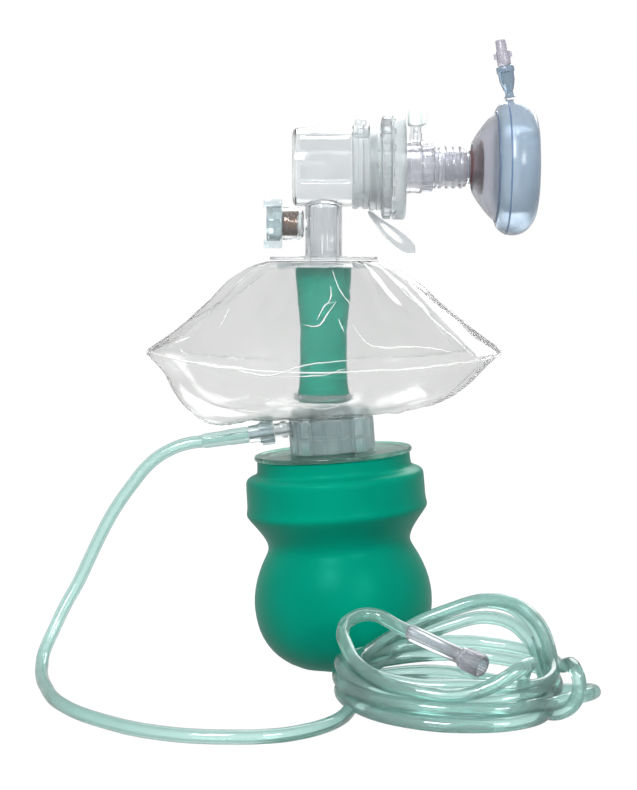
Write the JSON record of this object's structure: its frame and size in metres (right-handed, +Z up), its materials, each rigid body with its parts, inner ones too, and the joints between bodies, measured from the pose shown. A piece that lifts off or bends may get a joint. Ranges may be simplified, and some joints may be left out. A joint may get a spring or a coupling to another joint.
{
  "type": "bag valve mask",
  "caption": "Infant bag valve mask: green squeeze bag, clear film reservoir, clear valve head with relief valve, round air cushion mask and coiled oxygen tube.",
  "frame": {"origin": "middle of the flat base of the squeeze bag, on the surface it stands on", "axes": "+Z up along the neck, +X from the valve head towards the face mask"},
  "size_m": [0.2785, 0.2531, 0.3428],
  "materials": {
    "bag": "moulded translucent green, satin",
    "clear": "clear moulded polycarbonate",
    "film": "clear wrinkled film",
    "tubing": "clear green-tinted soft tubing",
    "silicone": "milky silicone",
    "spring": "drawn copper alloy wire",
    "white": "moulded white",
    "cushion": "clear blue-tinted soft vinyl",
    "insert": "moulded mauve-brown"
  },
  "bodies": {
    "root": {"squeeze_bag": "bag", "bag_lid": "clear", "lid_seal": "silicone", "inlet_manifold": "clear", "manifold_tube": "clear", "intake_valve_seat": "clear", "reservoir_lower_clamp": "clear", "oxygen_inlet": "clear", "tube_nut": "clear", "tube_sleeve": "tubing", "oxygen_tube": "tubing", "tube_coil": "tubing", "far_sleeve": "tubing", "far_connector": "clear", "gas_duct": "bag", "duct_lower_clamp": "clear", "duct_upper_clamp": "clear", "reservoir_film": "film", "reservoir_flange": "clear", "swivel_bush": "clear"},
    "intake_flap": {"intake_valve_disc": "silicone"},
    "head": {"neck_tube": "clear", "valve_housing": "clear", "inner_tube": "clear", "strap_ring": "clear", "finger_strap": "clear", "retaining_ring": "clear", "exhalation_ring": "clear", "exhalation_cover": "clear", "valve_seat": "clear", "outlet_hub": "clear", "pressure_spigot": "clear", "relief_housing": "clear"},
    "relief_poppet": {"relief_plunger": "white", "relief_spring": "spring"},
    "relief_knob": {"relief_cap": "clear"},
    "outlet_flap": {"duckbill_valve": "silicone"},
    "gauge_cap": {"pressure_cap": "white"},
    "port": {"patient_port": "clear"},
    "mask": {"mask_neck": "clear", "mask_insert": "insert", "mask_dome": "clear", "mask_cushion": "cushion", "inflation_valve": "cushion"},
    "inflation_cap": {"inflation_plug": "white"}
  },
  "joints": [
    {"name": "intake_flap_lift", "type": "slide", "parent": "root", "child": "intake_flap", "axis": [0.0698, 0, -0.9976], "range_m": [0, 0.002], "stiffness_N_per_m": 60},
    {"name": "head_swivel", "type": "hinge", "parent": "root", "child": "head", "pos_m": [-0.0134, 0, 0.225], "axis": [0, 0, 1], "continuous": true},
    {"name": "relief_lift", "type": "slide", "parent": "head", "child": "relief_poppet", "axis": [-1, 0, 0], "range_m": [0, 0.0015], "stiffness_N_per_m": 400},
    {"name": "relief_twist", "type": "hinge", "parent": "head", "child": "relief_knob", "pos_m": [-0.0404, 0, 0.243], "axis": [-1, 0, 0], "range_deg": [0, 90]},
    {"name": "outlet_flap_lift", "type": "slide", "parent": "head", "child": "outlet_flap", "axis": [1, 0, 0], "range_m": [0, 0.002], "stiffness_N_per_m": 100},
    {"name": "gauge_cap_pull", "type": "slide", "parent": "head", "child": "gauge_cap", "axis": [0, 0, 1], "range_m": [0, 0.008]},
    {"name": "port_turn", "type": "hinge", "parent": "head", "child": "port", "pos_m": [0.0466, 0, 0.2737], "axis": [1, 0, 0], "continuous": true},
    {"name": "mask_turn", "type": "hinge", "parent": "port", "child": "mask", "pos_m": [0.0641, 0, 0.2737], "axis": [1, 0, 0], "continuous": true},
    {"name": "inflation_cap_pull", "type": "slide", "parent": "mask", "child": "inflation_cap", "axis": [-0.1736, 0, 0.9848], "range_m": [0, 0.008]}
  ]
}
